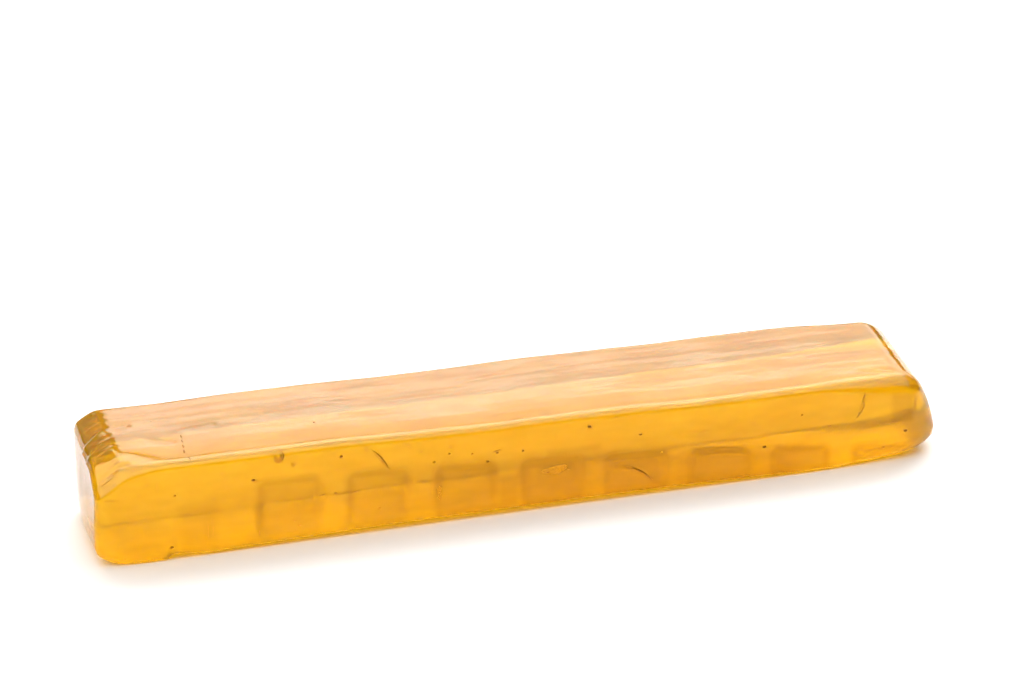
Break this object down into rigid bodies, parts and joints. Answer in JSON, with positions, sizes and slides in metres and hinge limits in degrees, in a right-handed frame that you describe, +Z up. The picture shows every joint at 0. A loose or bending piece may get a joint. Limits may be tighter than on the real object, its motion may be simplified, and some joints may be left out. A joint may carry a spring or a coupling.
{
  "type": "gummy bar",
  "caption": "Long bar of clear amber fruit gummy with soft edges, a row of shallow square mould hollows along its front, a faceted cut end and an upturned far end.",
  "frame": {"origin": "on the surface that the bar lies on, under the middle of its bounding box", "axes": "+X along the bar from its cut end to its upturned end, +Y from the front face with the hollows to the back, +Z up"},
  "size_m": [0.1622, 0.028, 0.0194],
  "materials": {
    "gel": "translucent amber gel, moist gloss",
    "bubble": "small air bubbles held in the gel",
    "speck": "dark brown crumbs of fruit and burnt sugar"
  },
  "bodies": {
    "root": {"gummy_bar": "gel"}
  },
  "joints": []
}
